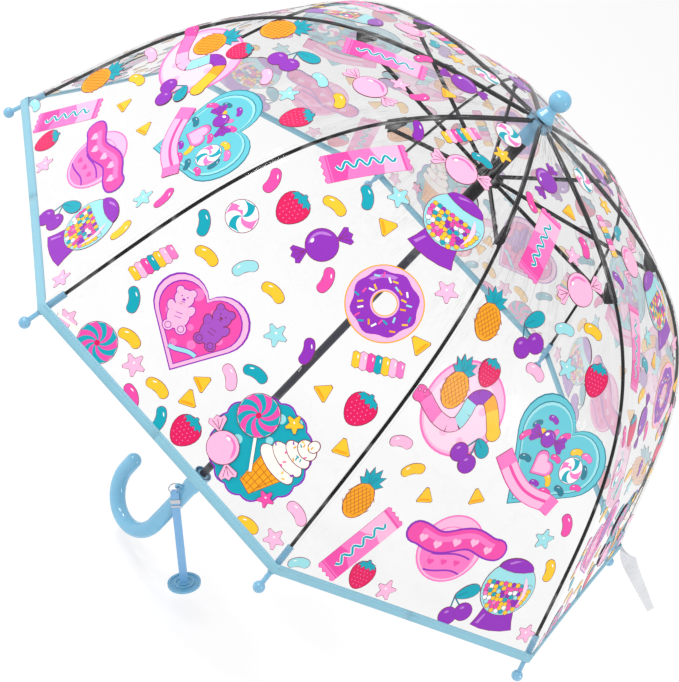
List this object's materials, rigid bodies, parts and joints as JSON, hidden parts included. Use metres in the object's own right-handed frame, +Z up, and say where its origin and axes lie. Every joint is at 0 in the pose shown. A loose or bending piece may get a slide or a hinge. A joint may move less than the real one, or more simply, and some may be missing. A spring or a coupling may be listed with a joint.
{
  "type": "children's umbrella",
  "caption": "Clear dome umbrella for a child, with folding ribs, a sliding runner, a crook handle with a wrist lanyard and a ball ferrule.",
  "frame": {"origin": "middle of the straight hand grip, on the shaft's axis", "axes": "+Z up the shaft to the ferrule, the crook opens towards -X"},
  "size_m": [0.7426, 0.7426, 0.676],
  "materials": {
    "tube": "satin grey-black lacquer",
    "notch": "translucent light blue",
    "blue_plastic": "glossy light blue",
    "cup": "translucent light blue",
    "runner": "black",
    "rib_steel": "black lacquer",
    "rib_rod": "black fibreglass, satin",
    "bracket": "black",
    "tips": "translucent light blue",
    "film": "clear printed film",
    "strap_film": "clear film",
    "catch": "spring steel",
    "strap": "pale blue translucent strap",
    "fittings": "bright metal",
    "disc": "translucent light blue"
  },
  "bodies": {
    "root": {"shaft_tube": "tube", "top_notch": "notch", "ferrule": "blue_plastic", "handle": "blue_plastic", "tip_cup": "cup"},
    "runner": {"runner": "runner"},
    "rib_upper_1": {"rib_upper_1": "rib_steel", "rib_bracket_1": "bracket", "canopy_panel_1": "film"},
    "rib_lower_1": {"rib_lower_1": "rib_rod", "rib_tip_1": "tips"},
    "stretcher_1": {"stretcher_1": "rib_steel"},
    "rib_upper_2": {"rib_upper_2": "rib_steel", "rib_bracket_2": "bracket", "canopy_panel_2": "film"},
    "rib_lower_2": {"rib_lower_2": "rib_rod", "rib_tip_2": "tips", "closure_strap": "strap_film"},
    "stretcher_2": {"stretcher_2": "rib_steel"},
    "rib_upper_3": {"rib_upper_3": "rib_steel", "rib_bracket_3": "bracket", "canopy_panel_3": "film"},
    "rib_lower_3": {"rib_lower_3": "rib_rod", "rib_tip_3": "tips"},
    "stretcher_3": {"stretcher_3": "rib_steel"},
    "rib_upper_4": {"rib_upper_4": "rib_steel", "rib_bracket_4": "bracket", "canopy_panel_4": "film"},
    "rib_lower_4": {"rib_lower_4": "rib_rod", "rib_tip_4": "tips"},
    "stretcher_4": {"stretcher_4": "rib_steel"},
    "rib_upper_5": {"rib_upper_5": "rib_steel", "rib_bracket_5": "bracket", "canopy_panel_5": "film"},
    "rib_lower_5": {"rib_lower_5": "rib_rod", "rib_tip_5": "tips"},
    "stretcher_5": {"stretcher_5": "rib_steel"},
    "rib_upper_6": {"rib_upper_6": "rib_steel", "rib_bracket_6": "bracket", "canopy_panel_6": "film"},
    "rib_lower_6": {"rib_lower_6": "rib_rod", "rib_tip_6": "tips"},
    "stretcher_6": {"stretcher_6": "rib_steel"},
    "rib_upper_7": {"rib_upper_7": "rib_steel", "rib_bracket_7": "bracket", "canopy_panel_7": "film"},
    "rib_lower_7": {"rib_lower_7": "rib_rod", "rib_tip_7": "tips"},
    "stretcher_7": {"stretcher_7": "rib_steel"},
    "rib_upper_8": {"rib_upper_8": "rib_steel", "rib_bracket_8": "bracket", "canopy_panel_8": "film"},
    "rib_lower_8": {"rib_lower_8": "rib_rod", "rib_tip_8": "tips"},
    "stretcher_8": {"stretcher_8": "rib_steel"},
    "catch_top": {"catch_spring_top": "catch"},
    "catch_bottom": {"catch_spring_bottom": "catch"},
    "lanyard": {"lanyard_strap": "strap", "lanyard_fittings": "fittings", "lanyard_disc": "disc"}
  },
  "joints": [
    {"name": "runner_slide", "type": "slide", "parent": "root", "child": "runner", "axis": [0, 0, -1], "range_m": [0, 0.25254]},
    {"name": "rib_fold_1", "type": "hinge", "parent": "root", "child": "rib_upper_1", "pos_m": [0.01, 0, 0.5616], "axis": [0, 1, 0], "range_deg": [-0.01, 72.33], "deforming": ["canopy_panel_1"]},
    {"name": "rib_flex_1", "type": "hinge", "parent": "rib_upper_1", "child": "rib_lower_1", "pos_m": [0.171, 0, 0.524], "axis": [0, 1, 0], "range_deg": [-35.38, 0.01]},
    {"name": "stretcher_swing_1", "type": "hinge", "parent": "rib_upper_1", "child": "stretcher_1", "pos_m": [0.16722, 0, 0.51745], "axis": [0, 1, 0], "range_deg": [-152.39, 0.01]},
    {"name": "rib_fold_2", "type": "hinge", "parent": "root", "child": "rib_upper_2", "pos_m": [0.00707, 0.00707, 0.5616], "axis": [-0.7071, 0.7071, 0], "range_deg": [-0.01, 72.33], "deforming": ["canopy_panel_2"]},
    {"name": "rib_flex_2", "type": "hinge", "parent": "rib_upper_2", "child": "rib_lower_2", "pos_m": [0.12091, 0.12091, 0.524], "axis": [-0.7071, 0.7071, 0], "range_deg": [-35.38, 0.01], "deforming": ["closure_strap"]},
    {"name": "stretcher_swing_2", "type": "hinge", "parent": "rib_upper_2", "child": "stretcher_2", "pos_m": [0.11824, 0.11824, 0.51745], "axis": [-0.7071, 0.7071, 0], "range_deg": [-152.39, 0.01]},
    {"name": "rib_fold_3", "type": "hinge", "parent": "root", "child": "rib_upper_3", "pos_m": [0, 0.01, 0.5616], "axis": [-1, 0, 0], "range_deg": [-0.01, 72.33], "deforming": ["canopy_panel_3"]},
    {"name": "rib_flex_3", "type": "hinge", "parent": "rib_upper_3", "child": "rib_lower_3", "pos_m": [0, 0.171, 0.524], "axis": [-1, 0, 0], "range_deg": [-35.38, 0.01]},
    {"name": "stretcher_swing_3", "type": "hinge", "parent": "rib_upper_3", "child": "stretcher_3", "pos_m": [0, 0.16722, 0.51745], "axis": [-1, 0, 0], "range_deg": [-152.39, 0.01]},
    {"name": "rib_fold_4", "type": "hinge", "parent": "root", "child": "rib_upper_4", "pos_m": [-0.00707, 0.00707, 0.5616], "axis": [-0.7071, -0.7071, 0], "range_deg": [-0.01, 72.33], "deforming": ["canopy_panel_4"]},
    {"name": "rib_flex_4", "type": "hinge", "parent": "rib_upper_4", "child": "rib_lower_4", "pos_m": [-0.12091, 0.12091, 0.524], "axis": [-0.7071, -0.7071, 0], "range_deg": [-35.38, 0.01]},
    {"name": "stretcher_swing_4", "type": "hinge", "parent": "rib_upper_4", "child": "stretcher_4", "pos_m": [-0.11824, 0.11824, 0.51745], "axis": [-0.7071, -0.7071, 0], "range_deg": [-152.39, 0.01]},
    {"name": "rib_fold_5", "type": "hinge", "parent": "root", "child": "rib_upper_5", "pos_m": [-0.01, 0, 0.5616], "axis": [0, -1, 0], "range_deg": [-0.01, 72.33], "deforming": ["canopy_panel_5"]},
    {"name": "rib_flex_5", "type": "hinge", "parent": "rib_upper_5", "child": "rib_lower_5", "pos_m": [-0.171, 0, 0.524], "axis": [0, -1, 0], "range_deg": [-35.38, 0.01]},
    {"name": "stretcher_swing_5", "type": "hinge", "parent": "rib_upper_5", "child": "stretcher_5", "pos_m": [-0.16722, 0, 0.51745], "axis": [0, -1, 0], "range_deg": [-152.39, 0.01]},
    {"name": "rib_fold_6", "type": "hinge", "parent": "root", "child": "rib_upper_6", "pos_m": [-0.00707, -0.00707, 0.5616], "axis": [0.7071, -0.7071, 0], "range_deg": [-0.01, 72.33], "deforming": ["canopy_panel_6"]},
    {"name": "rib_flex_6", "type": "hinge", "parent": "rib_upper_6", "child": "rib_lower_6", "pos_m": [-0.12091, -0.12091, 0.524], "axis": [0.7071, -0.7071, 0], "range_deg": [-35.38, 0.01]},
    {"name": "stretcher_swing_6", "type": "hinge", "parent": "rib_upper_6", "child": "stretcher_6", "pos_m": [-0.11824, -0.11824, 0.51745], "axis": [0.7071, -0.7071, 0], "range_deg": [-152.39, 0.01]},
    {"name": "rib_fold_7", "type": "hinge", "parent": "root", "child": "rib_upper_7", "pos_m": [0, -0.01, 0.5616], "axis": [1, 0, 0], "range_deg": [-0.01, 72.33], "deforming": ["canopy_panel_7"]},
    {"name": "rib_flex_7", "type": "hinge", "parent": "rib_upper_7", "child": "rib_lower_7", "pos_m": [0, -0.171, 0.524], "axis": [1, 0, 0], "range_deg": [-35.38, 0.01]},
    {"name": "stretcher_swing_7", "type": "hinge", "parent": "rib_upper_7", "child": "stretcher_7", "pos_m": [0, -0.16722, 0.51745], "axis": [1, 0, 0], "range_deg": [-152.39, 0.01]},
    {"name": "rib_fold_8", "type": "hinge", "parent": "root", "child": "rib_upper_8", "pos_m": [0.00707, -0.00707, 0.5616], "axis": [0.7071, 0.7071, 0], "range_deg": [-0.01, 72.33], "deforming": ["canopy_panel_8"]},
    {"name": "rib_flex_8", "type": "hinge", "parent": "rib_upper_8", "child": "rib_lower_8", "pos_m": [0.12091, -0.12091, 0.524], "axis": [0.7071, 0.7071, 0], "range_deg": [-35.38, 0.01]},
    {"name": "stretcher_swing_8", "type": "hinge", "parent": "rib_upper_8", "child": "stretcher_8", "pos_m": [0.11824, -0.11824, 0.51745], "axis": [0.7071, 0.7071, 0], "range_deg": [-152.39, 0.01]},
    {"name": "catch_top_press", "type": "slide", "parent": "root", "child": "catch_top", "axis": [0, 1, 0], "range_m": [0, 0.0012], "stiffness_N_per_m": 400},
    {"name": "catch_bottom_press", "type": "slide", "parent": "root", "child": "catch_bottom", "axis": [0, 1, 0], "range_m": [0, 0.0012], "stiffness_N_per_m": 400},
    {"name": "lanyard_swing", "type": "hinge", "parent": "root", "child": "lanyard", "pos_m": [-0.00428, -0.01175, 0.025], "axis": [0.9397, -0.342, 0], "range_deg": [-36, 0]}
  ],
  "couplings": [
    {"joint": "rib_fold_1", "follows": "runner_slide", "rad_per_m": 4.9976},
    {"joint": "rib_flex_1", "follows": "runner_slide", "rad_per_m": -2.4434},
    {"joint": "stretcher_swing_1", "follows": "runner_slide", "rad_per_m": -10.531},
    {"joint": "rib_fold_2", "follows": "runner_slide", "rad_per_m": 4.9976},
    {"joint": "rib_flex_2", "follows": "runner_slide", "rad_per_m": -2.4434},
    {"joint": "stretcher_swing_2", "follows": "runner_slide", "rad_per_m": -10.531},
    {"joint": "rib_fold_3", "follows": "runner_slide", "rad_per_m": 4.9976},
    {"joint": "rib_flex_3", "follows": "runner_slide", "rad_per_m": -2.4434},
    {"joint": "stretcher_swing_3", "follows": "runner_slide", "rad_per_m": -10.531},
    {"joint": "rib_fold_4", "follows": "runner_slide", "rad_per_m": 4.9976},
    {"joint": "rib_flex_4", "follows": "runner_slide", "rad_per_m": -2.4434},
    {"joint": "stretcher_swing_4", "follows": "runner_slide", "rad_per_m": -10.531},
    {"joint": "rib_fold_5", "follows": "runner_slide", "rad_per_m": 4.9976},
    {"joint": "rib_flex_5", "follows": "runner_slide", "rad_per_m": -2.4434},
    {"joint": "stretcher_swing_5", "follows": "runner_slide", "rad_per_m": -10.531},
    {"joint": "rib_fold_6", "follows": "runner_slide", "rad_per_m": 4.9976},
    {"joint": "rib_flex_6", "follows": "runner_slide", "rad_per_m": -2.4434},
    {"joint": "stretcher_swing_6", "follows": "runner_slide", "rad_per_m": -10.531},
    {"joint": "rib_fold_7", "follows": "runner_slide", "rad_per_m": 4.9976},
    {"joint": "rib_flex_7", "follows": "runner_slide", "rad_per_m": -2.4434},
    {"joint": "stretcher_swing_7", "follows": "runner_slide", "rad_per_m": -10.531},
    {"joint": "rib_fold_8", "follows": "runner_slide", "rad_per_m": 4.9976},
    {"joint": "rib_flex_8", "follows": "runner_slide", "rad_per_m": -2.4434},
    {"joint": "stretcher_swing_8", "follows": "runner_slide", "rad_per_m": -10.531}
  ]
}
